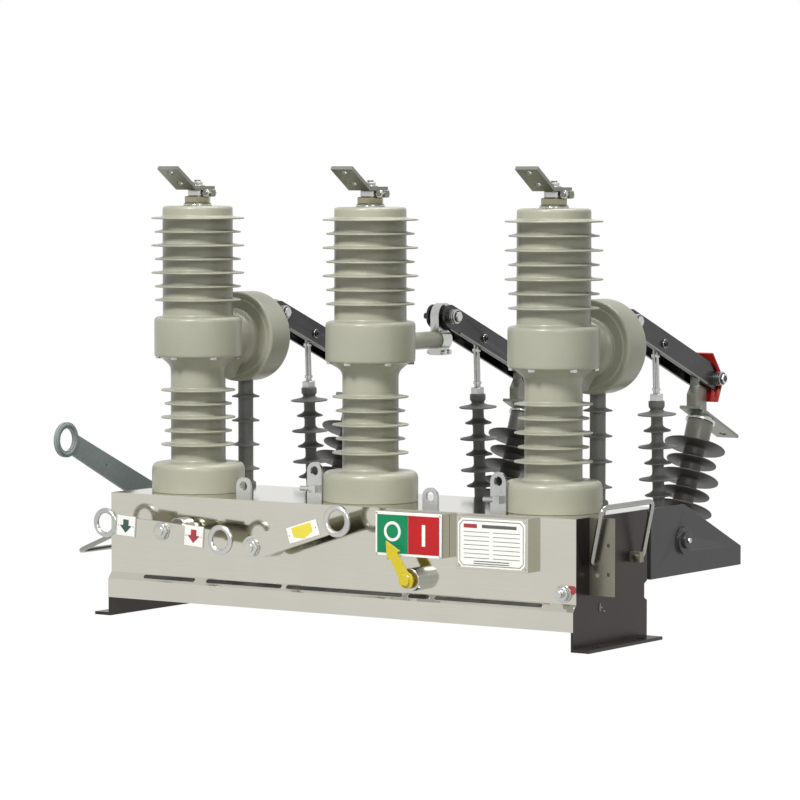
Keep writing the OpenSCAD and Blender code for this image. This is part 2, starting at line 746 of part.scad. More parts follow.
// Angle bracket on the right end plate, which is also the bail's front eye, and the rear eye.
module bail_bracket_right() {
    plate_y = 4 - bail_w / 2 + 10;
    bottom = hinge_z - 49;
    color("slategray") {
        difference() {
            union() {
                translate([outer_x, plate_y, bottom]) cube([43, bracket_t, housing_top - bottom]);
                translate([outer_x, plate_y, bottom]) cube([bracket_t, 24, housing_top - bottom]);
            }
            translate([hinge_x, 0, hinge_z]) y_bar(plate_y - 1, plate_y + bracket_t + 1, bail_r + fit);
            for (h = [[32, 28], [32, -16], [14, -18]])
                translate([outer_x + h[0], 0, hinge_z + h[1]])
                    y_bar(plate_y - 1, plate_y + bracket_t + 1, 3.5);
        }
        bail_eye(4 + bail_w / 2 - 16);
    }
}

// Front lever bar with a ring; its x runs along the lever.
module ring_arm(length, root, neck, ring, hole) {
    difference() {
        union() {
            polygon([[0, root], [length, neck], [length, -neck], [0, -root]]);
            translate([length, 0]) circle(r = ring);
        }
        translate([length, 0]) circle(r = hole);
    }
}

// Trip lever: a two-armed bar with a ring at each end and a label plate on each arm.
module trip_lever() {
    label = [38, 34];
    label_x = [-71, 65];
    color("silver") translate([trip_x, 0, trip_z]) {
        rotate([0, trip_tilt, 0]) {
            xz(lever_y, lever_y + front_lever_t) union() {
                for (s = [0, 1]) mirror([s, 0]) ring_arm(trip_arm, 15, 13, trip_ring_r, trip_ring_hole_r);
            }
            for (x = label_x) translate([x, 0, 0])
                xz(lever_y - 1.5, lever_y + 0.5) square(label, center = true);
        }
        y_bar(lever_y - 9, front_y - 1.5, lever_shaft_r);
        y_bar(lever_y - 6, lever_y + 0.5, 12);
        y_bar(lever_y + front_lever_t - 0.5, lever_y + front_lever_t + 12, 13);
    }
}

// Charging lever: a one-armed tapered bar with a bent lower edge, a ring and a label plate.
module charging_lever() {
    label = [38, 26];
    label_x = 105;
    color("silver") translate([charge_x, 0, charge_z]) {
        rotate([0, -charge_tilt, 0]) {
            xz(lever_y, lever_y + front_lever_t) {
                difference() {
                    union() {
                        circle(r = 18.5);
                        ring_arm(charge_arm, 18.5, 16, charge_ring_r, charge_ring_hole_r);
                    }
                    circle(r = lever_shaft_r - 1);
                }
            }
            xz(lever_y + front_lever_t - 0.5, lever_y + front_lever_t + 9)
                polygon([[22, -18.2], [140, -16.2], [140, -13.2], [22, -15.2]]);
            translate([label_x, 0, 0]) xz(lever_y - 1.5, lever_y + 0.5) square(label, center = true);
        }
        y_bar(lever_y - 9, front_y - 1.5, lever_shaft_r);
        y_bar(lever_y - 6, lever_y + 0.5, 12);
        y_bar(lever_y + front_lever_t - 0.5, lever_y + front_lever_t + 12, 13);
    }
}

// Yellow pointer that turns in front of the indicator.
module pointer() {
    head = 26;
    color("gold") translate([pointer_x, 0, pointer_z]) {
        rotate([0, -pointer_tilt, 0]) xz(pointer_y - pointer_t, pointer_y) {
            circle(r = 13);
            polygon([[-10, 0], [-8, pointer_l - head], [-14, pointer_l - head], [0, pointer_l],
                [14, pointer_l - head], [8, pointer_l - head], [10, 0]]);
        }
        y_bar(pointer_y - pointer_t - 4, front_y - 1.5, bolt_r);
        y_bar(pointer_y - pointer_t - 4, pointer_y - pointer_t + 0.5, 8);
    }
}

// Bail: a bent round rod whose two stubs point inwards along its hinge axis.
module bail(side, angle) {
    color("silver") translate([side * hinge_x, 4, hinge_z]) rotate([0, angle, 0]) {
        for (s = [-1, 1]) {
            translate([0, s * bail_w / 2, 0]) {
                cylinder(h = bail_l, r = bail_r);
                sphere(r = bail_r);
                translate([0, 0, bail_l]) sphere(r = bail_r);
            }
            y_bar(s > 0 ? bail_w / 2 - stub_l : -bail_w / 2, s > 0 ? bail_w / 2 : stub_l - bail_w / 2,
                bail_r);
        }
        translate([0, 0, bail_l]) y_bar(-bail_w / 2, bail_w / 2, bail_r);
    }
}

PHASES = [[-1, "left"], [0, "middle"], [1, "right"]];
function shown(name) = node == "all" || node == name;

if (shown("housing")) housing();
if (shown("end_plate_left")) end_plate(-1);
if (shown("end_plate_right")) end_plate(1);
for (p = PHASES) {
    if (shown(str("pole_", p[1]))) pole(p[0]);
    if (shown(str("terminal_", p[1]))) terminal(p[0]);
    if (shown(str("blade_clamp_", p[1]))) blade_clamp(p[0]);
    if (shown(str("post_", p[1]))) post(p[0]);
    if (shown(str("contact_", p[1]))) contact(p[0]);
    if (shown(str("blade_", p[1]))) blade(p[0]);
    if (shown(str("blade_hood_", p[1]))) blade_hood(p[0]);
    if (shown(str("pull_rod_", p[1]))) pull_rod(p[0]);
}
if (shown("transformer_left")) transformer(-1);
if (shown("transformer_right")) transformer(1);
if (shown("lead_left")) lead(-1);
if (shown("lead_right")) lead(1);
if (shown("side_tube")) side_tube();
if (shown("gusset_left")) gusset(-1);
if (shown("gusset_right")) gusset(1);
if (shown("beam")) beam();
if (shown("isolator_shaft")) isolator_shaft();
if (shown("isolator_lever")) isolator_lever();
if (shown("lifting_lugs")) lifting_lugs();
if (shown("indicator_box")) indicator_box();
if (shown("nameplate")) nameplate();
if (shown("ground_stud")) ground_stud();
if (shown("lever_bosses")) lever_bosses();
if (shown("bail_eyes_left")) bail_eyes_left();
if (shown("bail_bracket_right")) bail_bracket_right();
if (shown("trip_lever")) trip_lever();
if (shown("charging_lever")) charging_lever();
if (shown("pointer")) pointer();
if (shown("bail_left")) bail(-1, bail_left_angle);
if (shown("bail_right")) bail(1, bail_right_angle);
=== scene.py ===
"""Outdoor pole-mounted circuit breaker: the finish and the fine shapes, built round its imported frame."""
import json
import math

import bmesh
import bpy
import numpy as np
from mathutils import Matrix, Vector

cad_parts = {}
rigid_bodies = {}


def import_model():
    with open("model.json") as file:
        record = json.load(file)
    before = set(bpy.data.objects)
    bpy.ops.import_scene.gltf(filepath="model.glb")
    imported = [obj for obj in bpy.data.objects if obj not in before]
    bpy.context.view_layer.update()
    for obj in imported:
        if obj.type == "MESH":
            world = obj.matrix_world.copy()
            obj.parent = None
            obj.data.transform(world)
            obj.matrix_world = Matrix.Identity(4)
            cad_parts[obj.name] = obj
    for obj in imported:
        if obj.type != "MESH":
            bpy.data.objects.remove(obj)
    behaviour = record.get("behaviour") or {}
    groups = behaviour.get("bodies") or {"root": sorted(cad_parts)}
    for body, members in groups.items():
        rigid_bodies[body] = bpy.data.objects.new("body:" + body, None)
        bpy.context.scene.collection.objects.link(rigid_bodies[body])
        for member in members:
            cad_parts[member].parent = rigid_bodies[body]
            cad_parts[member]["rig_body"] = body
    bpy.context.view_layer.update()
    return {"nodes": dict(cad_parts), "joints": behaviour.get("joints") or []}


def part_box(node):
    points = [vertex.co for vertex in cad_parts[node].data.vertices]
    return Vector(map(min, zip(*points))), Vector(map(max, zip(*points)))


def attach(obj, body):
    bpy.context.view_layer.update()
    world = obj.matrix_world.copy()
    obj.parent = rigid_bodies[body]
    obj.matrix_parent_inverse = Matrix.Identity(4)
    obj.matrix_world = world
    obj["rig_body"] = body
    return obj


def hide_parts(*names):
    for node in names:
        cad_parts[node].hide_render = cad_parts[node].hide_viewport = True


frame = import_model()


# ---------------------------------------------------------------- view, floor and light
# The breaker stands on a pale floor in plain soft studio light, seen from the front and the
# right from a little above the housing, through a long lens.
camera = bpy.data.objects.new("camera", bpy.data.cameras.new("camera"))
bpy.context.scene.collection.objects.link(camera)
camera.location = (3.5166, -5.1225, 0.7298)
camera.rotation_euler = (math.radians(86.59), 0, math.radians(34.04))
camera.data.lens = 177.4
camera.data.sensor_width = 36
bpy.context.scene.camera = camera
bpy.context.scene.view_settings.view_transform = "Standard"


def linear(code):
    """The linear colour of an sRGB hex code: each channel c becomes ((c + 0.055) / 1.055) ^ 2.4,
    or c / 12.92 near black."""
    c = np.array([int(code[k:k + 2], 16) for k in (1, 3, 5)]) / 255
    c = np.where(c <= 0.04045, c / 12.92, ((c + 0.055) / 1.055) ** 2.4)
    return (*c.tolist(), 1.0)


def add(tree, kind, inputs=None, **settings):
    """One shader node with its settings; each input is a value, or the socket that feeds it."""
    made = tree.nodes.new(kind)
    for key, value in settings.items():
        setattr(made, key, value)
    for key, value in (inputs or {}).items():
        if isinstance(value, bpy.types.NodeSocket):
            tree.links.new(value, made.inputs[key])
        else:
            made.inputs[key].default_value = value
    return made


def lamp(name, place, aim, size, power):
    """A square soft box of the given side at a place, turned so that it shines on a point."""
    light = bpy.data.objects.new(name, bpy.data.lights.new(name, "AREA"))
    light.data.size = size
    light.data.energy = power
    light.location = place
    light.rotation_euler = (Vector(aim) - Vector(place)).to_track_quat("-Z", "Y").to_euler()
    bpy.context.scene.collection.objects.link(light)


lamp("key_light", (0.2, -4.0, 4.3), (0, 0, 0.3), 1.2, 365)
lamp("fill_light", (3.8, -3.0, 2.6), (0, 0, 0.3), 1.6, 62)
lamp("top_light", (0.4, 0.8, 3.4), (0, 0, 0.2), 2.0, 90)

# Strength of the white dome on matt faces, to the view itself, and in mirror-like faces.
DOME_MATT = 0.13
DOME_SEEN = 1.0
DOME_SHINY = 0.9
world = bpy.data.worlds.new("studio")
bpy.context.scene.world = world
world.use_nodes = True
sky = world.node_tree
sky.nodes.clear()
ray = add(sky, "ShaderNodeLightPath")
seen = add(sky, "ShaderNodeMath", {0: ray.outputs["Is Camera Ray"], 1: ray.outputs["Is Transmission Ray"]},
           operation="ADD", use_clamp=True)
level = add(sky, "ShaderNodeMix", {"Factor": seen.outputs[0], 2: DOME_MATT, 3: DOME_SEEN})
shiny = add(sky, "ShaderNodeMix", {"Factor": ray.outputs["Is Glossy Ray"], 2: level.outputs[0],
                                   3: DOME_SHINY})
dome = add(sky, "ShaderNodeBackground", {"Color": (1, 1, 1, 1), "Strength": shiny.outputs[0]})
add(sky, "ShaderNodeOutputWorld", {"Surface": dome.outputs[0]})

# White paper: it glows evenly to the view and in mirror-like faces, but for a small share that
# takes the lamps' light and the object's soft shadow.
PAPER_GLOW = 1.03
GLOW_SHARE = 0.97
reach = 14.0
floor_mesh = bpy.data.meshes.new("floor")
floor_mesh.from_pydata([(-reach, -reach, 0), (reach, -reach, 0), (reach, reach, 0), (-reach, reach, 0)],
                       [], [(0, 1, 2, 3)])
floor = bpy.data.objects.new("floor", floor_mesh)
bpy.context.scene.collection.objects.link(floor)
paper = bpy.data.materials.new("white_floor_paper")
paper.use_nodes = True
sheet = paper.node_tree
sheet.nodes.clear()
ray = add(sheet, "ShaderNodeLightPath")
direct = add(sheet, "ShaderNodeMath", {0: ray.outputs["Is Camera Ray"], 1: ray.outputs["Is Glossy Ray"]},
             operation="ADD", use_clamp=True)
share = add(sheet, "ShaderNodeMath", {0: direct.outputs[0], 1: GLOW_SHARE}, operation="MULTIPLY")
matte = add(sheet, "ShaderNodeBsdfDiffuse", {"Color": linear("#A9A9A6")})
glow = add(sheet, "ShaderNodeEmission", {"Color": (1, 1, 1, 1), "Strength": PAPER_GLOW})
mixed = add(sheet, "ShaderNodeMixShader", {"Fac": share.outputs[0], 1: matte.outputs[0],
                                           2: glow.outputs[0]})
add(sheet, "ShaderNodeOutputMaterial", {"Surface": mixed.outputs[0]})
floor.data.materials.append(paper)


# ---------------------------------------------------------------- pole insulators
# Each pole is one casting of outdoor epoxy with the switching chamber inside: a flange that is
# bolted to the housing, a ribbed lower core, a thick collar and a ribbed upper core.
MM = 0.001
SIDES = {"left": -1, "middle": 0, "right": 1}
UP = (0, 0, 1)
DRIFT_PER_METRE = 9.0


def made_of(name, tones, grain, relief, rough, stretch=(1, 1, 1), **shader):
    """A finish of two near tones that drift over patches of the grain's size, with a relief of
    the given height; grain and relief are in mm, and stretch makes the grain longer along an
    axis. Tone and roughness also drift slowly over the piece; the rest is set on the shader."""
    finish = bpy.data.materials.new(name)
    finish.use_nodes = True
    tree = finish.node_tree
    tree.nodes.clear()
    place = add(tree, "ShaderNodeTexCoord")
    drawn = add(tree, "ShaderNodeMapping", {"Vector": place.outputs["Object"],
                                            "Scale": [1 / s for s in stretch]})
    patch = add(tree, "ShaderNodeTexNoise", {"Vector": drawn.outputs[0], "Scale": 1 / (grain * MM),
                                             "Detail": 5.0, "Roughness": 0.6})
    drift = add(tree, "ShaderNodeTexNoise", {"Vector": place.outputs["Object"],
                                             "Scale": DRIFT_PER_METRE, "Detail": 3.0})
    both = add(tree, "ShaderNodeMath", {0: patch.outputs["Fac"], 1: drift.outputs["Fac"], 2: 0.0},
               operation="MULTIPLY_ADD")
    tone = add(tree, "ShaderNodeValToRGB", {"Fac": both.outputs[0]})
    tone.color_ramp.elements[0].position = 0.12
    tone.color_ramp.elements[0].color = linear(tones[0])
    tone.color_ramp.elements[1].position = 0.42
    tone.color_ramp.elements[1].color = linear(tones[1])
    dull = add(tree, "ShaderNodeMapRange", {"Value": drift.outputs["Fac"], "From Min": 0.3,
                                            "From Max": 0.7, "To Min": rough * 0.9,
                                            "To Max": rough * 1.15})
    bump = add(tree, "ShaderNodeBump", {"Height": patch.outputs["Fac"], "Strength": 1.0,
                                        "Distance": relief * MM})
    body = add(tree, "ShaderNodeBsdfPrincipled", {"Base Color": tone.outputs[0],
                                                  "Roughness": dull.outputs[0],
                                                  "Normal": bump.outputs[0], **shader})
    add(tree, "ShaderNodeOutputMaterial", {"Surface": body.outputs[0]})
    return finish


# Cycloaliphatic cast epoxy, moulded smooth in a steel form: warm olive-grey with a soft gloss.
cast_epoxy = made_of("cast_epoxy", ("#949485", "#A2A291"), 1.2, 0.03, 0.36,
                     **{"Coat Weight": 0.16, "Coat Roughness": 0.22, "Specular IOR Level": 0.35})


def piece(name, points, faces, finish, body, slot, replaced=(), smooth=38):
    """A mesh piece: doubles are merged, faces turned outwards, and edges sharper than the angle
    kept sharp."""
    mesh = bpy.data.meshes.new(name)
    mesh.from_pydata(np.asarray(points, float).reshape(-1, 3).tolist(), [],
                     faces.tolist() if isinstance(faces, np.ndarray) else faces)
    work = bmesh.new()
    work.from_mesh(mesh)
    bmesh.ops.remove_doubles(work, verts=work.verts, dist=1e-6)
    bmesh.ops.dissolve_degenerate(work, edges=work.edges, dist=1e-7)
    bmesh.ops.recalc_face_normals(work, faces=work.faces)
    work.to_mesh(mesh)
    work.free()
    mesh.polygons.foreach_set("use_smooth", np.ones(len(mesh.polygons), bool))
    mesh.set_sharp_from_angle(angle=math.radians(smooth))
    mesh.materials.append(finish)
    made = bpy.data.objects.new(name, mesh)
    bpy.context.scene.collection.objects.link(made)
    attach(made, body)
    if replaced:
        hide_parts(*replaced)
    return made


def rounded(points, radii, steps=5):
    """A polyline with soft corners: each corner p becomes the curve
    (1-s)^2 a + 2 s (1-s) p + s^2 b, where a and b lie on its two edges at the corner's radius,
    or at 0.49 of a shorter edge."""
    p = np.asarray(points, float)
    r = np.broadcast_to(np.asarray(radii, float), len(p))[1:-1, None]
    back = p[:-2] - p[1:-1]
    on = p[2:] - p[1:-1]
    size_back = np.linalg.norm(back, axis=1, keepdims=True)
    size_on = np.linalg.norm(on, axis=1, keepdims=True)
    reach = np.minimum(r, 0.49 * np.minimum(size_back, size_on))
    a = (p[1:-1] + back / size_back * reach)[:, None]
    b = (p[1:-1] + on / size_on * reach)[:, None]
    s = np.linspace(0, 1, steps)[None, :, None]
    curve = (1 - s) ** 2 * a + 2 * s * (1 - s) * p[1:-1, None] + s ** 2 * b
    return np.vstack([p[:1], curve.reshape(-1, p.shape[1]), p[-1:]])


def frame_of(direction):
    """Two unit vectors square to a direction and to each other."""
    w = np.asarray(direction, float) / np.linalg.norm(direction)
    u = np.cross(w, [0, 0, 1] if abs(w[2]) < 0.9 else [0, 1, 0])
    u /= np.linalg.norm(u)
    return u, np.cross(w, u), w


def lathe_points(outline, start, direction, sides=96, turn=0.0):
    """Surface of revolution: for radius r, distance d and angle t it is
    start + d w + r (cos t u + sin t v)."""
    u, v, w = frame_of(direction)
    r, d = np.asarray(outline, float).T * MM
    t = (np.arange(sides) + turn) * 2 * np.pi / sides
    ring = np.cos(t)[:, None] * u + np.sin(t)[:, None] * v
    points = np.asarray(start) * MM + d[:, None, None] * w + r[:, None, None] * ring
    i = np.arange(len(r) - 1)[:, None] * sides
    j = np.arange(sides)
    k = (j + 1) % sides
    faces = np.stack([i + j, i + k, i + sides + k, i + sides + j], axis=-1).reshape(-1, 4)
    return points.reshape(-1, 3), faces


def joined(parts):
    """Several point-and-face pairs as one: each part's faces count on from the points before it."""
    points, faces, count = [], [], 0
    for p, f in parts:
        points.append(np.asarray(p, float).reshape(-1, 3))
        faces += [[int(n) + count for n in face] for face in f]
        count += len(points[-1])
    return np.vstack(points), faces


def shed(z, core, r, edge, rise, soft=2.5):
    """Corners of a shed's outline with their radii: flat below, an edge of the given height,
    sloping up to the core on top."""
    low, high = z - edge / 2, z + edge / 2
    return [(core, low - rise * 0.25, soft), (r, low, edge * 0.45), (r, high, edge * 0.45),
            (core + 4, high + rise * 0.5, 3), (core, high + rise, soft)]


def turned(corners):
    """Radius and distance pairs of a rounded outline, from corners that carry their own radius."""
    c = np.array(corners, float)
    return rounded(c[:, :2], c[:, 2])


def disc(radius, low, high, rims, place, direction, sides):
    """A washer, pin or bolt head between two heights over a place, its low and high rims rounded;
    six sides make a hexagon."""
    corners = [(0, low, 0), (radius, low, rims[0]), (radius, high, rims[1]), (0, high, 0)]
    return lathe_points(turned(corners), place, direction, sides)


SHED_PITCH = 22.1
COLLAR = (420.0, 484.0)
COLLAR_R = 71
FLANGE_R = 75.5
LOWER_CORE = 44.5
UPPER_CORE = 57
HOUSING_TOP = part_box("housing")[1].z / MM
CORE_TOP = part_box("pole_middle")[1].z / MM
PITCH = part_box("pole_right")[0].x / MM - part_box("pole_middle")[0].x / MM
pole_outline = [(0, HOUSING_TOP, 0), (FLANGE_R, HOUSING_TOP, 1.5), (FLANGE_R, HOUSING_TOP + 48, 12),
                (LOWER_CORE, HOUSING_TOP + 48.5, 5)]
# Wide and narrow sheds take turns; the lowest one of the upper core is a narrow one.
for k in range(4, -1, -1):
    width = 60.5 - (k % 2) * 5.5
    pole_outline += shed(COLLAR[0] - 55 - k * SHED_PITCH, LOWER_CORE, width, 2.6, 2.6, 1.5)
pole_outline += [(LOWER_CORE, COLLAR[0] - 16, 8), (62, COLLAR[0] - 1, 5), (COLLAR_R, COLLAR[0], 4),
                 (COLLAR_R, COLLAR[1], 11), (UPPER_CORE, COLLAR[1] + 1, 4)]
for k in range(6, -1, -1):
    width = 75.5 - (5.5 if k % 2 or k == 6 else 0)
    pole_outline += shed(CORE_TOP - 20 - k * SHED_PITCH, UPPER_CORE, width, 2.6, 2.6, 1.5)
pole_outline += [(UPPER_CORE, CORE_TOP, 6), (26, CORE_TOP, 2), (24, CORE_TOP - 1.5, 1),
                 (0, CORE_TOP - 1.5, 0)]
for side, s in SIDES.items():
    points, faces = lathe_points(turned(pole_outline), (s * PITCH, 0, 0), UP, 112)
    piece(f"pole_casting_{side}", points, faces, cast_epoxy, "frame", "cast_epoxy", (f"pole_{side}",))


# Zinc plating over turned or pressed steel: bright and slightly blue, with fine turning marks.
zinc = made_of("zinc_plated_steel", ("#B4B6B4", "#CFD0CC"), 0.6, 0.01, 0.24, Metallic=1.0)
# Six bolts under each collar hold its two halves together.
BOLT_CIRCLE_R = 64
for side, s in SIDES.items():
    heads = []
    for k in range(6):
        a = math.radians(60 * k - 90)
        place = (s * PITCH + BOLT_CIRCLE_R * math.cos(a), BOLT_CIRCLE_R * math.sin(a), COLLAR[0] - 4)
        heads.append(disc(6, 0, 4.5, (0.8, 0), place, UP, 6))
    points, faces = joined(heads)
    piece(f"collar_bolts_{side}", points, faces, zinc, "frame", "plated_steel")


# ---------------------------------------------------------------- current transformers and side tube
# Cast onto the outer poles: a round neck, a disc with rounded rims that holds the ring core, and
# the tube for the switch's clamp. The middle pole has the tube alone.
TUBE_Z = COLLAR[0] + 28
TUBE_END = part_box("side_tube")[1].y / MM
TUBE_R = 14
NECK_R = 39.5
DRUM_R = 74
BACKWARDS = (0, 1, 0)
FRONT = (0, -1, 0)
drum_outline = [(0, 40, 0), (NECK_R, 40, 0), (NECK_R, 90, 4), (47, 96, 3), (47, 101, 1.5), (62, 101, 2),
                (64, 102.5, 1.5), (DRUM_R, 103, 8), (DRUM_R, 158, 8), (40, 160, 3), (34, 164, 3),
                (20, 166, 4), (TUBE_R, 172, 4), (TUBE_R, TUBE_END, 1), (0, TUBE_END, 0)]


def prism(outline, start, direction, height, edge=0.0):
    """A flat outline (x along u, y upwards or along v) pushed by a height along a direction, with
    its rims cut back by an edge at 45 degrees: its four rings are the outline shrunk by the edge,
    twice the outline, and shrunk again."""
    w = np.asarray(direction, float) / np.linalg.norm(direction)
    v = np.array([0, 0, 1.0]) if abs(w[2]) < 0.9 else np.array([0, 1.0, 0])
    u = np.cross(v, w)
    flat = np.asarray(outline, float)
    on = np.roll(flat, -1, 0) - flat
    on /= np.linalg.norm(on, axis=1, keepdims=True)
    out = np.stack([on[:, 1], -on[:, 0]], axis=1)
    corner = out + np.roll(out, 1, 0)
    corner /= np.maximum((corner * out).sum(1, keepdims=True), 0.3)
    after = np.roll(flat, -1, 0)
    turn = np.sign((flat[:, 0] * after[:, 1] - flat[:, 1] * after[:, 0]).sum())
    shrunk = flat - turn * corner * edge
    rings = [(shrunk, 0), (flat, edge), (flat, height - edge), (shrunk, height)]
    if not edge:
        rings = [rings[0], rings[3]]
    points = np.vstack([np.asarray(start) + r[:, :1] * u + r[:, 1:] * v + h * w for r, h in rings]) * MM
    n = len(flat)
    j = np.arange(n)
    k = (j + 1) % n
    faces = [list(j), list(j[::-1] + n * (len(rings) - 1))]
    for i in range(len(rings) - 1):
        faces += np.stack([i * n + j, i * n + k, (i + 1) * n + k, (i + 1) * n + j], axis=1).tolist()
    return points, faces


def arc(radius, start, end, steps, centre=(0, 0)):
    """Points of a circle's arc between two angles in degrees."""
    a = np.radians(np.linspace(start, end, steps))
    return np.stack([centre[0] + radius * np.cos(a), centre[1] + radius * np.sin(a)], axis=1)


# The web under the neck: the neck's round, and two edges that run down from it as tangents.
WEB_LOW = 68
touch_angle = math.degrees(math.asin(39.0 / WEB_LOW))
web_outline = np.vstack([arc(39.2, -touch_angle, 180 + touch_angle, 40),
                         [(-5, 1 - WEB_LOW), (0, -WEB_LOW), (5, 1 - WEB_LOW)]])
for side in ("left", "right"):
    x = SIDES[side] * PITCH
    drum = lathe_points(turned(drum_outline), (x, 0, TUBE_Z), BACKWARDS, 112)
    points, faces = joined([drum, prism(web_outline, (x, 92, TUBE_Z), FRONT, 56)])
    piece(f"transformer_casting_{side}", points, faces, cast_epoxy, "frame", "cast_epoxy",
          (f"transformer_{side}",))
tube_outline = [(0, 60, 0), (18, 60, 0), (18, 76, 4), (TUBE_R, 82, 4), (TUBE_R, TUBE_END, 1),
                (0, TUBE_END, 0)]
points, faces = lathe_points(turned(tube_outline), (0, 0, TUBE_Z), BACKWARDS, 64)
piece("side_tube_casting", points, faces, cast_epoxy, "frame", "cast_epoxy", ("side_tube",))


# ---------------------------------------------------------------- rubber leads, pull rods and posts
# Silicone rubber moulded over glass-fibre rods: thin soft sheds with drip edges. The metal ends
# of the rods and posts are zinc-plated sockets.
# Mid-grey silicone on the leads and rods, and a darker one on the posts.
silicone = made_of("silicone_rubber_grey", ("#6A6B68", "#7C7D79"), 0.9, 0.04, 0.5)
dark_silicone = made_of("silicone_rubber_dark", ("#4A4844", "#5B5853"), 0.9, 0.04, 0.46)

# Shaft, crank, pull rod and blade form a parallelogram: the crank lies along the blade, which
# slopes down to the rear.
RIGHT = (1, 0, 0)
BLADE_REACH = 286
BLADE_SLOPE = 20.9
pivot = {j["name"]: np.array(j["pos_m"]) / MM for j in frame["joints"]}
slope = math.radians(BLADE_SLOPE)
along = np.array([0, math.cos(slope), -math.sin(slope)])
blade_pivot = pivot["blade_middle_pivot"]
rod_pin = pivot["pull_rod_middle_pivot"]
shaft = pivot["isolator"]
crank_pin = shaft + np.linalg.norm(rod_pin - blade_pivot) * along
tip = blade_pivot + BLADE_REACH * along

LEAD_CORE = 12.5
LEAD_Y = 130.5
drum_low = TUBE_Z - WEB_LOW
lead_outline = [(0, HOUSING_TOP, 0), (17, HOUSING_TOP, 1), (17, HOUSING_TOP + 6, 2),
                (LEAD_CORE, HOUSING_TOP + 9, 1)]
for k in range(4):
    lead_outline += shed(HOUSING_TOP + 28 + k * (drum_low - HOUSING_TOP - 60) / 3, LEAD_CORE, 23, 2, 4, 2)
lead_outline += [(LEAD_CORE, drum_low, 0), (0, drum_low, 0)]
for side in ("left", "right"):
    points, faces = lathe_points(turned(lead_outline), (SIDES[side] * PITCH, LEAD_Y, 0), UP, 64)
    piece(f"lead_rubber_{side}", points, faces, silicone, "frame", "silicone_rubber", (f"lead_{side}",))

ROD_CORE = 9.5
rod = rod_pin - crank_pin
rod_length = np.linalg.norm(rod)
socket = rod_length - 92
rod_outline = [(0, 42, 0), (12, 42, 1), (12, 56, 3), (ROD_CORE, 62, 2)]
for k in range(5, -1, -1):
    rod_outline += shed(rod_length - 114 - k * 26, ROD_CORE, 31 if k % 2 == 0 else 22, 2, 7, 3)
rod_outline += [(13, socket - 10, 2), (13, socket, 2), (0, socket, 0)]
for side, s in SIDES.items():
    shift = np.array([s * PITCH, 0, 0])
    low_end = crank_pin + shift
    points, faces = lathe_points(turned(rod_outline), low_end, rod, 64)
    piece(f"pull_rod_rubber_{side}", points, faces, silicone, f"pull_rod_{side}", "silicone_rubber")
    steel = [disc(12, socket, socket + 11, (1, 2), low_end, rod, 6),
             disc(7, 8, 44, (1, 1), low_end, rod, 32)]
    # Two thin studs with two nuts each join the socket to the upper eye.
    for h in (-3.2, 3.2):
        place = low_end + h * np.array(RIGHT)
        stud = [(0, socket + 8), (2.6, socket + 8), (2.6, rod_length - 6), (0, rod_length - 6)]
        steel.append(lathe_points(stud, place, rod, 20))
        for level in (rod_length - 76, rod_length - 22):
            nut = [(0, level), (4.6, level), (4.6, level + 4.5), (0, level + 4.5)]
            steel.append(lathe_points(nut, place, rod, 6))
    # Eyes: rings across the two pins.
    for pin, outer, inner in ((rod_pin, 8, 4.1), (crank_pin, 11, 5.0)):
        ring = [(inner, -6), (outer - 1, -6), (outer, -5), (outer, 5), (outer - 1, 6), (inner, 6),
                (inner, -6)]
        steel.append(lathe_points(ring, pin + shift, RIGHT, 40))
    points, faces = joined(steel)
    piece(f"pull_rod_steel_{side}", points, faces, zinc, f"pull_rod_{side}", "plated_steel",
          (f"pull_rod_{side}",))

# The posts lean back from the beam, whose top slopes square to them. The top of each post is the
# seat of its fixed contact, under the blade's tip.
POST_TILT = 23.6
tilt = math.radians(POST_TILT)
post_axis = np.array([0, math.sin(tilt), math.cos(tilt)])
seat = tip + np.array([0, -16, -63])
slope_start = np.array([0, shaft[1] + 2, HOUSING_TOP])
post_h = float((seat - slope_start) @ post_axis)
post_base = seat - post_h * post_axis
POST_CORE = 17
post_outline = [(0, 0, 0), (21, 0, 1), (21, 12, 3), (POST_CORE, 15, 2)]
for k in range(4, -1, -1):
    post_outline += shed(post_h - 51 - k * 27, POST_CORE, 50 if k % 2 == 0 else 41, 2.6, 8, 4)
post_outline += [(POST_CORE, post_h - 42, 2), (POST_CORE, post_h - 40, 0), (0, post_h - 40, 0)]
sleeve_outline = [(0, post_h - 43, 0), (21, post_h - 43, 1.5), (21.5, post_h - 9, 1), (0, post_h - 9, 0)]
cap_outline = [(0, post_h - 9, 0), (24.5, post_h - 9, 0.8), (24.5, post_h - 4.5, 0.8),
               (19, post_h - 4.5, 0.5), (19, post_h, 0.5), (0, post_h, 0)]
# The metal sleeve that grips the post's core is painted light grey.
sleeve_paint = made_of("light_grey_sleeve_paint", ("#75756B", "#828277"), 1.6, 0.03, 0.34)
for side, s in SIDES.items():
    foot = post_base + np.array([s * PITCH, 0, 0])
    points, faces = lathe_points(turned(post_outline), foot, post_axis, 96)
    piece(f"post_rubber_{side}", points, faces, dark_silicone, "frame", "dark_rubber", (f"post_{side}",))
    points, faces = lathe_points(turned(sleeve_outline), foot, post_axis, 64)
    piece(f"post_sleeve_{side}", points, faces, sleeve_paint, "frame", "dark_rubber")
    points, faces = lathe_points(turned(cap_outline), foot, post_axis, 64)
    piece(f"post_cap_{side}", points, faces, zinc, "frame", "plated_steel")


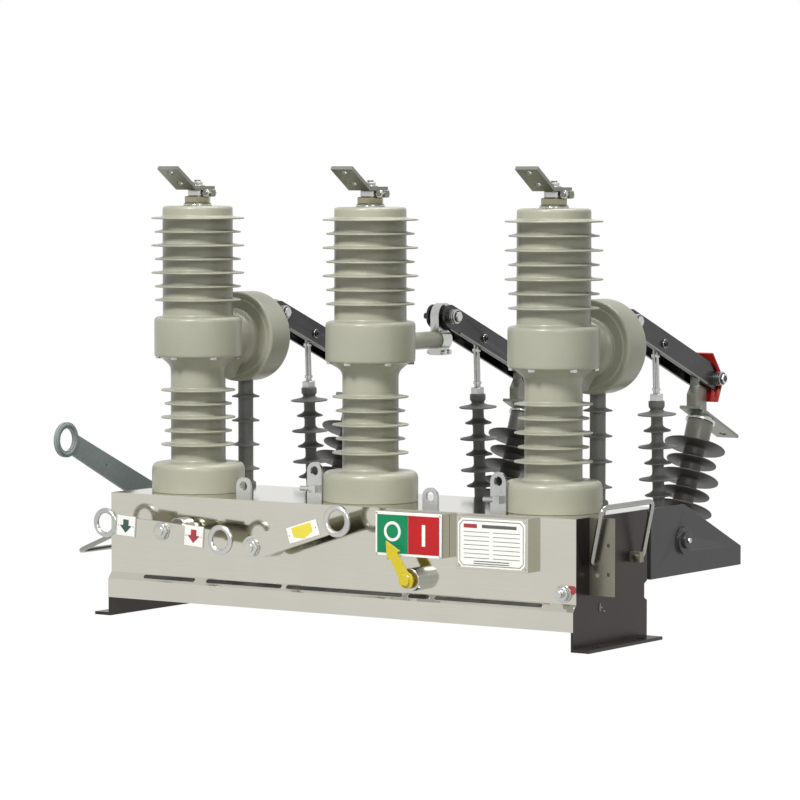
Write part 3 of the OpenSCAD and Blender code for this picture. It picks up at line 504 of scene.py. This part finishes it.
# ---------------------------------------------------------------- sheet-metal housing and end plates
# The housing is folded from ground and polished stainless sheet, so it mirrors the levers. The
# end plates and their feet are thick sheet whose dark tone is a painted reflection of dark
# surroundings and painted shade on faces turned from the light; the gussets are painted plate.
def softened(node, finish, width, steps=2, angle=35):
    """A CAD node with small round edges: its triangles are merged into flat faces, then each edge
    sharper than the angle is rolled by the width, in mm."""
    source = frame["nodes"][node]
    mesh = source.data.copy()
    mesh.name = f"{node}_edged"
    work = bmesh.new()
    work.from_mesh(mesh)
    bmesh.ops.remove_doubles(work, verts=work.verts, dist=2e-6)
    bmesh.ops.dissolve_limit(work, angle_limit=math.radians(0.5), verts=work.verts, edges=work.edges)
    work.to_mesh(mesh)
    work.free()
    mesh.materials.clear()
    mesh.materials.append(finish)
    mesh.polygons.foreach_set("use_smooth", np.ones(len(mesh.polygons), bool))
    mesh.polygons.foreach_set("material_index", np.zeros(len(mesh.polygons), np.int32))
    mesh.set_sharp_from_angle(angle=math.radians(angle))
    made = bpy.data.objects.new(f"{node}_edged", mesh)
    bpy.context.scene.collection.objects.link(made)
    roll = made.modifiers.new("rolled_edges", "BEVEL")
    roll.width = width * MM
    roll.segments = steps
    roll.limit_method = "ANGLE"
    roll.angle_limit = math.radians(angle)
    roll.harden_normals = True
    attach(made, source["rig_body"])
    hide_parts(node)
    return made


# Stainless sheet, ground along its length and polished: pale grey, mirror-like, with a faint
# long grain.
stainless = made_of("polished_stainless_sheet", ("#C4C2B6", "#CAC8BD"), 0.8, 0.0006, 0.1, (60, 1, 1),
                    Metallic=1.0)
# Sheet with a satin face. Its dark tone is a painted reflection of dark surroundings in a
# polished plate, and painted shade on its sides turned from the light.
end_sheet_painted_dark = made_of("end_plate_painted_reflection_shade", ("#302B29", "#3C3734"), 1.0, 0.01, 0.3, (1, 1, 12),
                     Metallic=0.7)
# Grey polyester powder paint: satin with a very fine orange peel.
grey_paint = made_of("grey_powder_paint", ("#2A2A2B", "#333335"), 1.4, 0.03, 0.38)
softened("housing", stainless, 1.6, steps=3)
# The front panel is one polished sheet: upright, then in by the step along its lower edge. It
# stands its own thickness out from the box, and reaches into both end plates. The levers' pivots
# end well in front of it.
PANEL_BEHIND_PIVOTS = 63
PANEL_STEP = 9
STEP_TOP, STEP_LOW = 71, 60
SHEET = 0.6
front_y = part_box("trip_lever")[0].y / MM + PANEL_BEHIND_PIVOTS
step_y = front_y - PANEL_STEP
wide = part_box("end_plate_right")[0].x / MM + 4
skin = [(front_y, HOUSING_TOP), (front_y, STEP_TOP), (step_y, STEP_LOW), (step_y, 30),
        (step_y - SHEET, 30), (step_y - SHEET, STEP_LOW + 0.2), (front_y - SHEET, STEP_TOP + 0.2),
        (front_y - SHEET, HOUSING_TOP)]
points, faces = prism(skin, (-wide, 0, 0), RIGHT, 2 * wide)
piece("front_panel_sheet", points, faces, stainless, "frame", "stainless_sheet")


def slot_outline(length, width, steps=9):
    """A long hole with half-round ends, centred on the origin: its length along x."""
    r = width / 2
    return np.vstack([arc(r, -90, 90, steps, (length / 2 - r, 0)),
                      arc(r, 90, 270, steps, (r - length / 2, 0))])


# Long holes in the sloping strip of the panel: a pressed lip, and inside it a dark strip of painted
# shade. The strip stands for the shaded inside of a hole and for the dark reflections along the strip;
# no hole is cut in the sheet.
shadow = made_of("painted_shade_in_slot", ("#2C2A27", "#4A4843"), 5.0, 0.0, 0.4, (6, 1, 1), Metallic=0.6)
SLOT_ENDS = ((-373, -270), (-247, -99), (-90, 130), (141, 180), (190, 385))
SLOT_WIDTH = 7
strip_rise = STEP_TOP - STEP_LOW
strip_size = math.hypot(strip_rise, PANEL_STEP)
slope_out = np.array([0, -strip_rise, PANEL_STEP]) / strip_size
slope_up = np.array([0, PANEL_STEP, strip_rise]) / strip_size
lips, painted_shade_strips = [], []
for x0, x1 in SLOT_ENDS:
    middle = np.array([(x0 + x1) / 2, front_y - 3.7, 66.5])
    for parts, grow, lift in ((lips, 2.6, 0.9), (painted_shade_strips, 0, 1.2)):
        flat = slot_outline(x1 - x0 + grow, SLOT_WIDTH + grow)
        n = len(flat)
        base = middle + flat[:, :1] * np.array([1.0, 0, 0]) + flat[:, 1:] * slope_up
        ring = np.vstack([base, base + lift * slope_out]) * MM
        j = np.arange(n)
        k = (j + 1) % n
        ends = [list(j[::-1]), list(j + n)]
        parts.append((ring, ends + np.stack([j, k, k + n, j + n], 1).tolist()))
points, faces = joined(lips)
piece("panel_slot_lips", points, faces, zinc, "frame", "stainless_sheet")
# The dark strips of painted shade inside the lips.
points, faces = joined(painted_shade_strips)
piece("panel_slot_painted_shade", points, faces, shadow, "frame", "stainless_sheet")
# The end plates take the dark sheet of painted reflection and painted shade.
for node in ("end_plate_left", "end_plate_right"):
    softened(node, end_sheet_painted_dark, 0.8)
# Tinned bare metal, dull grey and a little streaked.
tinned = made_of("tinned_copper", ("#74756C", "#8F9087"), 0.7, 0.01, 0.34, (1, 14, 1), Metallic=1.0)
# A pressed rib and two rivets low on the right end plate.
marks = [prism(slot_outline(12, 3)[:, ::-1], (wide, -31, 61), RIGHT, 1.2, 0.5)]
for y, z in ((-25, 60), (-18, 54)):
    marks.append(lathe_points([(0, 0), (1.6, 0), (1.2, 0.8), (0, 1)], (wide, y, z), RIGHT, 16))
points, faces = joined(marks)
piece("end_plate_marks", points, faces, tinned, "frame", "plated_steel")
for node in ("gusset_left", "gusset_right", "beam"):
    softened(node, grey_paint, 0.8)


# ---------------------------------------------------------------- top terminals and fixed contacts
# Tinned copper bars and clamps on the poles and posts, with zinc-plated bolts. The large nut
# under each clamp is bronze, dulled by weather.
bronze = made_of("weathered_bronze", ("#8F8A72", "#ABA78E"), 0.8, 0.01, 0.3, Metallic=1.0)
for side, s in SIDES.items():
    softened(f"terminal_{side}", tinned, 0.5)
    softened(f"contact_{side}", tinned, 0.5)
    softened(f"blade_clamp_{side}", zinc, 0.5)
    axis = (s * PITCH, 0, CORE_TOP)
    points, faces = disc(22.6, 4.3, 15.8, (2, 2), axis, UP, 6)
    piece(f"terminal_nut_{side}", points, faces, bronze, "frame", "tinned_copper")
    washer = [(0, 0, 0), (23, 0, 0.6), (23, 2.2, 0.6), (20, 4.6, 1), (0, 4.6, 0)]
    bright = [lathe_points(turned(washer), axis, UP, 48),
              disc(15.8, 16.2, 25.6, (1, 1), axis, UP, 48),
              disc(12, 32, 33.6, (0.4, 0.4), axis, UP, 32),
              disc(9.4, 33.6, 39, (0.8, 1.4), axis, UP, 6)]
    # The pinch bolt of the clamp: a head on each side.
    for w in (-1, 1):
        place = (s * PITCH + 24, 0, CORE_TOP + 20.75)
        bright.append(disc(7, 6, 11, (0.6, 1.2), place, (0, w, 0), 6))
    points, faces = joined(bright)
    piece(f"terminal_bolts_{side}", points, faces, zinc, "frame", "plated_steel")


# ---------------------------------------------------------------- blades and their red hoods
# Each blade is a pair of silvered copper plates on a pivot bolt, pressed together by springs at
# the tip, under a folded hood of red sheet.
# Silvered copper in a near-black tone: painted shade on the plates' faces turned from the light. The
# sleeves under the spring washers take the same dark finish.
blade_metal_painted_shade = made_of("silvered_copper_painted_shade", ("#3C3C3D", "#4E4E50"), 0.8, 0.008, 0.24, (1, 12, 1),
                      Metallic=1.0)
# Red moulded sheet, satin.
red_sheet = made_of("red_moulded_sheet", ("#A81D16", "#B8251C"), 2.0, 0.02, 0.35)
blade_up = np.array([0, math.sin(slope), math.cos(slope)])
# The rings of a spring washer stack round a dark sleeve, outwards from a plate's face, and a nut.
# The sleeve's dark finish is painted shade in the gaps between the rings.
SLEEVE_R = 9.6
SPRING_R = 11.4
PLATE_FACE = 18
stack = []
for k in range(4):
    d = 3.5 * k
    stack.append([(SLEEVE_R, 0.3 + d), (SPRING_R, 0.6 + d), (SPRING_R, 2.3 + d), (SLEEVE_R, 2.6 + d)])
sleeve = [(0, 0), (SLEEVE_R, 0), (SLEEVE_R, 13.7), (0, 13.7)]
# A stiffening strip's corners along and across the blade, and the faces of any eight-point block.
STRIP = ((34, -18.6), (262, -18.6), (262, -15.4), (34, -15.4))
BLOCK_FACES = [[3, 2, 1, 0], [4, 5, 6, 7], [0, 1, 5, 4], [1, 2, 6, 5], [2, 3, 7, 6], [3, 0, 4, 7]]
dome = turned([(0, 0, 0), (7.4, 0, 0.5), (7.4, 1.4, 0.5), (5.6, 1.6, 0.4), (5.6, 3.6, 2), (0, 5.4, 0)])
for side, s in SIDES.items():
    softened(f"blade_{side}", blade_metal_painted_shade, 0.6)
    softened(f"blade_hood_{side}", red_sheet, 0.5)
    parts, sleeves = [], []
    for spot, ways in ((blade_pivot, (1,)), (tip, (-1, 1))):
        for w in ways:
            start = spot + np.array([s * PITCH + PLATE_FACE * w, 0, 0])
            parts += [lathe_points(ring, start, (w, 0, 0), 32) for ring in stack]
            parts.append(disc(8.6, 13.4, 17.6, (1, 1.6), start, (w, 0, 0), 6))
            sleeves.append(lathe_points(sleeve, start, (w, 0, 0), 32))
    parts.append(lathe_points(dome, rod_pin + np.array([s * PITCH + PLATE_FACE, 0, 0]), RIGHT, 32))
    points, faces = joined(parts)
    piece(f"blade_springs_{side}", points, faces, zinc, f"blade_{side}", "plated_steel")
    # The dark sleeves: painted shade in the gaps between the washer rings.
    points, faces = joined(sleeves)
    piece(f"blade_shade_sleeves_{side}", points, faces, blade_metal_painted_shade, f"blade_{side}", "blade_steel")
    # A narrow stiffening strip is riveted along the lower edge of each plate.
    strips = []
    for w in (-1, 1):
        ring = np.array([blade_pivot + u * along + v * blade_up + np.array([s * PITCH + w * h, 0, 0])
                         for h in (PLATE_FACE - 0.1, PLATE_FACE + 1.4) for u, v in STRIP]) * MM
        strips.append((ring, BLOCK_FACES))
    points, faces = joined(strips)
    piece(f"blade_strips_{side}", points, faces, tinned, f"blade_{side}", "blade_steel")


# ---------------------------------------------------------------- shaft and hand lever
# A plated round shaft with forked cranks, and a galvanised hand lever with a ring for the hook.
galvanised = made_of("galvanised_lever_plate", ("#7B8583", "#8C9592"), 6.0, 0.01, 0.42, Metallic=0.2)
softened("isolator_shaft", zinc, 0.5)
softened("isolator_lever", galvanised, 0.6)


def hoop(centre, direction, radius, wire, sides=64, turns=16):
    """A ring of round bar about a centre: its section is a circle of the wire's radius."""
    a = np.linspace(0, 2 * np.pi, turns + 1)
    outline = np.stack([radius + wire * np.cos(a), wire * np.sin(a)], axis=1)
    return lathe_points(outline, centre, direction, sides)


lever_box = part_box("isolator_lever")
EYE_R = 29
ring_centre = (lever_box[0].x / MM + 3, lever_box[0].y / MM + EYE_R, lever_box[1].z / MM - EYE_R)
points, faces = hoop(ring_centre, RIGHT, 24.2, 4.3)
piece("isolator_ring_bar", points, faces, galvanised, "isolator_shaft", "lever_steel")
# A cap and a small bolt close the shaft's right end in its bearing.
end_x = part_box("isolator_shaft")[1].x / MM
points, faces = disc(12.6, -3, 0.4, (0, 1), (end_x, *shaft[1:]), RIGHT, 48)
piece("shaft_end_cap", points, faces, grey_paint, "isolator_shaft", "gusset_sheet")
points, faces = disc(4.6, 0.3, 3.4, (0.5, 1), (end_x, *shaft[1:]), RIGHT, 6)
piece("shaft_end_bolt", points, faces, zinc, "isolator_shaft", "plated_steel")


# ---------------------------------------------------------------- levers on the front
# Polished strip levers on plated bosses, with rings of bright bar, white enamel label plates with
# plain arrows, and a washer, a nut and the shaft's end on each pivot.
for node in ("trip_lever", "charging_lever"):
    softened(node, stainless, 0.5)
softened("lever_bosses", zinc, 1.0)
# Baked enamel on sheet: white grounds, the indicator's green and red halves, and darker prints.
white_enamel = made_of("white_enamel", ("#E2E2DD", "#ECECE8"), 3.0, 0.01, 0.3)
green_enamel = made_of("green_enamel", ("#147A50", "#1B8458"), 3.0, 0.01, 0.45,
                       **{"Specular IOR Level": 0.2})
red_enamel = made_of("red_enamel", ("#A81E22", "#B12628"), 3.0, 0.01, 0.45,
                     **{"Specular IOR Level": 0.2})
dark_green = made_of("dark_green_enamel", ("#2A4A3A", "#33574A"), 3.0, 0.01, 0.3)
dark_red = made_of("dark_red_enamel", ("#8E2A33", "#A33A42"), 3.0, 0.01, 0.3)
yellow_enamel = made_of("yellow_enamel", ("#D3C43A", "#DDCF45"), 3.0, 0.01, 0.3)


def about_y(part, angle, centre):
    """A part turned by an angle in degrees about a line along Y, then moved from the origin to a
    centre: x' = x cos a + z sin a and z' = z cos a - x sin a."""
    points, faces = part
    x, y, z = np.asarray(points).T
    c, s = math.cos(math.radians(angle)), math.sin(math.radians(angle))
    return np.stack([x * c + z * s, y, z * c - x * s], axis=1) + np.asarray(centre) * MM, faces


def plate(width, height, cut=0.0):
    """A rectangle about the origin, with corners cut at 45 degrees when a cut is given."""
    w, h = width / 2, height / 2
    if not cut:
        return [(-w, -h), (w, -h), (w, h), (-w, h)]
    return [(-w + cut, -h), (w - cut, -h), (w, -h + cut), (w, h - cut), (w - cut, h), (-w + cut, h),
            (-w, h - cut), (-w, -h + cut)]


# How far each lever's bar is turned from level at rest, in degrees. The pivots' ends stand out
# past the levers' front faces.
TRIP_TURN = 3.9
CHARGE_TURN = -17.2
PIVOT_PROUD = 7.5
RING_BAR_R = 4.2
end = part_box("trip_lever")[0].y / MM
lever_front = end + PIVOT_PROUD
bar_middle = lever_front + 3.5
down_arrow = [(-5.5, 10.5), (-5.5, 1), (-12, 1), (0, -11), (12, 1), (5.5, 1), (5.5, 10.5)]
block_arrow = [(-19, 10.5), (-19, -4), (0, -11), (19, -4), (19, 10.5)]
rivet_outline = [(0, 0), (1.3, 0), (1, 0.6), (0, 0.7)]
trip_pin, charge_pin = pivot["trip_lever_pivot"], pivot["charging_lever_pivot"]
spots = {"left": (trip_pin, TRIP_TURN, -71, (36, 32), down_arrow, dark_green, "trip_lever"),
         "right": (trip_pin, TRIP_TURN, 65, (36, 32), down_arrow, dark_red, "trip_lever"),
         "charging": (charge_pin, CHARGE_TURN, 104, (58, 25), block_arrow, yellow_enamel,
                      "charging_lever")}
for name, (pin, angle, x, size, arrow, colour, body) in spots.items():
    centre = (pin[0], 0, pin[2])
    label = about_y(prism(plate(*size), (x, lever_front + 1.7, 0), FRONT, 2.6, 0.3), angle, centre)
    piece(f"label_{name}", *label, white_enamel, body, "lever_plate")
    mark = about_y(prism(arrow, (x, lever_front - 0.8, 0), FRONT, 0.35), angle, centre)
    piece(f"label_arrow_{name}", *mark, colour, body, "lever_plate")
    rivets = []
    for dx in (-size[0] / 2 + 3, size[0] / 2 - 3):
        rivet = lathe_points(rivet_outline, (x + dx, lever_front - 0.9, 0), FRONT, 12)
        rivets.append(about_y(rivet, angle, centre))
    piece(f"label_rivets_{name}", *joined(rivets), zinc, body, "plated_steel")
grips = (("trip", trip_pin, TRIP_TURN, ((-115, 19.5), (115, 19.5)), "trip_lever"),
         ("charging", charge_pin, CHARGE_TURN, ((169, 20.5),), "charging_lever"))
for name, pin, angle, rings, body in grips:
    centre = (pin[0], 0, pin[2])
    hoops = [about_y(hoop((x, bar_middle, 0), FRONT, r, RING_BAR_R), angle, centre) for x, r in rings]
    piece(f"{name}_rings", *joined(hoops), zinc, body, "lever_plate")
    base = (pin[0], end + 9, pin[2])
    fittings = [disc(15, 0, 2, (0.5, 0.5), base, FRONT, 40),
                disc(13.9, 2, 6.7, (1, 1.6), base, FRONT, 6)]
    piece(f"{name}_pivot_nut", *joined(fittings), zinc, body, "plated_steel")


# ---------------------------------------------------------------- indicator, pointer and nameplate
# Enamelled sheets on shallow boxes: green and red halves for open and closed, a yellow pointer,
# and a blank rating plate with ruled lines.
# The pointer's gloss paint, and the dark ink of the plate's ruled lines.
yellow_paint = made_of("yellow_gloss_paint", ("#BCA91C", "#C8B526"), 3.0, 0.02, 0.4)
ink = made_of("dark_print", ("#4E4E48", "#5C5B54"), 3.0, 0.0, 0.4)
softened("indicator_box", stainless, 1.5)
softened("nameplate", stainless, 1.2)
softened("pointer", yellow_paint, 0.5)
softened("ground_stud", zinc, 0.8)


def face_of(node):
    """Middle and size of a node's front face, in mm."""
    low, high = (np.array(c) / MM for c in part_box(node))
    return np.array([(low[0] + high[0]) / 2, low[1], (low[2] + high[2]) / 2]), high - low


HALF_X = 28.8
PRINT = 0.35
screw_outline = [(0, 0), (2, 0), (1.6, 0.8), (0, 1)]
middle, size = face_of("indicator_box")
piece("indicator_rim", *prism(plate(size[0], size[2], 1.5), middle, FRONT, 1.4, 0.5), white_enamel,
      "frame", "indicator")
for name, dx, colour in (("open", -HALF_X, green_enamel), ("closed", HALF_X, red_enamel)):
    piece(f"indicator_{name}", *prism(plate(57, 59), middle + (dx, -1.4, 0), FRONT, 0.5), colour,
          "frame", "indicator")
# A ring on the green half and a bar on the red one.
ring = [(11, 0), (15.5, 0), (15.5, 0.5), (11, 0.5), (11, 0)]
marks = [lathe_points(ring, middle + (-HALF_X, -1.8, 4), FRONT, 48),
         prism(plate(6, 33), middle + (HALF_X, -1.8, 0), FRONT, 0.5)]
piece("indicator_marks", *joined(marks), white_enamel, "frame", "indicator")
screws = [lathe_points(screw_outline, middle + (sx * 58.5, -1.3, sz * 31.5), FRONT, 16)
          for sx in (-1, 1) for sz in (-1, 1)]
piece("indicator_screws", *joined(screws), zinc, "frame", "plated_steel")

middle, _ = face_of("nameplate")
piece("nameplate_sheet", *prism(plate(121, 75, 7), middle, FRONT, 0.8, 0.3), white_enamel, "frame",
      "stainless_sheet")
# A thin border, a title, two columns of seven lines, and two long lines below.
print_middle = middle + (0, -0.7, 0)
lines = []
outer, inner = plate(115, 69, 6.4), plate(113, 67, 5.8)
for k in range(8):
    quad = [outer[k], outer[(k + 1) % 8], inner[(k + 1) % 8], inner[k]]
    lines.append(prism(quad, print_middle, FRONT, PRINT))
lines.append(prism(plate(62, 5), print_middle + (14, 0, 26), FRONT, PRINT))
for k in range(7):
    for x, w in ((-27, 46), (27, 48)):
        lines.append(prism(plate(w, 0.8), print_middle + (x, 0, 17 - 6.6 * k), FRONT, PRINT))
for z in (-27.5, -31):
    lines.append(prism(plate(64, 1.4), print_middle + (0, 0, z), FRONT, PRINT))
piece("nameplate_lines", *joined(lines), ink, "frame", "stainless_sheet")
piece("nameplate_heading", *prism(plate(24, 6), print_middle + (-38, 0, 26), FRONT, PRINT), dark_red,
      "frame", "stainless_sheet")
screws = [lathe_points(screw_outline, middle + (sx * 60, -0.2, sz * 36), FRONT, 16)
          for sx in (-1, 1) for sz in (-1, 1)]
piece("nameplate_screws", *joined(screws), zinc, "frame", "plated_steel")

# Pointer: a screw with a washer on its pivot.
pin = pivot["pointer_pivot"]
seat = (pin[0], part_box("pointer")[0].y / MM + 4, pin[2])
screw = [disc(8.6, 0, 1.6, (0.4, 0.4), seat, FRONT, 40),
         disc(7.2, 1.6, 3.5, (0.4, 1.4), seat, FRONT, 6)]
piece("pointer_screw", *joined(screw), zinc, "pointer", "plated_steel")
# Earth stud: a large washer and a domed hexagon head, and a blank red plate behind it.
middle, _ = face_of("ground_stud")
seat = (middle[0], front_y - 0.5, middle[2])
head = [disc(13.5, 0, 3, (0.6, 0.8), seat, FRONT, 48),
        disc(12, 3, 10.5, (1, 2), seat, FRONT, 6)]
piece("earth_stud_head", *joined(head), zinc, "frame", "plated_steel")
place = (middle[0] + 12, front_y - 0.5, middle[2] + 6)
piece("earth_plate", *prism(plate(17, 13, 3), place, FRONT, 1.0, 0.3), dark_red, "frame", "indicator")


# ---------------------------------------------------------------- lugs, eyes, bracket and bail handles
# Plated lifting lugs on the housing, and bent round bars as handles at both ends.
softened("lifting_lugs", zinc, 0.6)
softened("bail_eyes_left", zinc, 0.6)
# Angle bracket of dull grey-olive passivated steel.
passivated = made_of("olive_passivated_steel", ("#7A786B", "#8B897C"), 1.2, 0.01, 0.34, (1, 1, 10),
                     Metallic=0.8)
softened("bail_bracket_right", passivated, 0.5)
# Drawn steel bar for the handles: bright, with dark reflections along its length.
drawn_bar = made_of("drawn_steel_bar", ("#8F8F8A", "#A8A8A2"), 0.6, 0.005, 0.2, Metallic=1.0)


def swept(path, across, radius, sides=16):
    """A round bar along a flat path: at each point the ring is r (cos t b + sin t n), where b is
    square to the path's plane and n is square to b and to the path."""
    p = np.asarray(path, float)
    t = np.gradient(p, axis=0)
    t /= np.linalg.norm(t, axis=1, keepdims=True)
    b = np.asarray(across, float)
    n = np.cross(b, t)
    a = np.arange(sides) * 2 * np.pi / sides
    points = p[:, None] + radius * (np.cos(a)[None, :, None] * b + np.sin(a)[None, :, None] * n[:, None])
    i = np.arange(len(p) - 1)[:, None] * sides
    j = np.arange(sides)
    k = (j + 1) % sides
    faces = np.stack([i + j, i + k, i + sides + k, i + sides + j], axis=-1).reshape(-1, 4).tolist()
    ends = [list(j[::-1]), list(j + (len(p) - 1) * sides)]
    return points.reshape(-1, 3) * MM, faces + ends


# The left handle hangs down and the right one stands nearly upright: their angles from upright.
BAIL_ENDS, BAIL_HALF, BAIL_RISE = 49, 75, 87
bend = [(-BAIL_ENDS, 0), (-BAIL_HALF, 0), (-BAIL_HALF, BAIL_RISE), (BAIL_HALF, BAIL_RISE),
        (BAIL_HALF, 0), (BAIL_ENDS, 0)]
y_axis = np.array([0, 1.0, 0])
for side, angle in (("left", -113), ("right", 12)):
    a = math.radians(angle)
    up = np.array([math.sin(a), 0, math.cos(a)])
    hinge = pivot[f"bail_{side}_hinge"]
    corners = [hinge + y * y_axis + h * up for y, h in bend]
    path = rounded(corners, [0, 7, 12, 12, 7, 0], 9)
    points, faces = swept(path, np.cross(y_axis, up), 4)
    piece(f"bail_bar_{side}", points, faces, drawn_bar, f"bail_{side}", "plated_steel",
          (f"bail_{side}",), smooth=60)
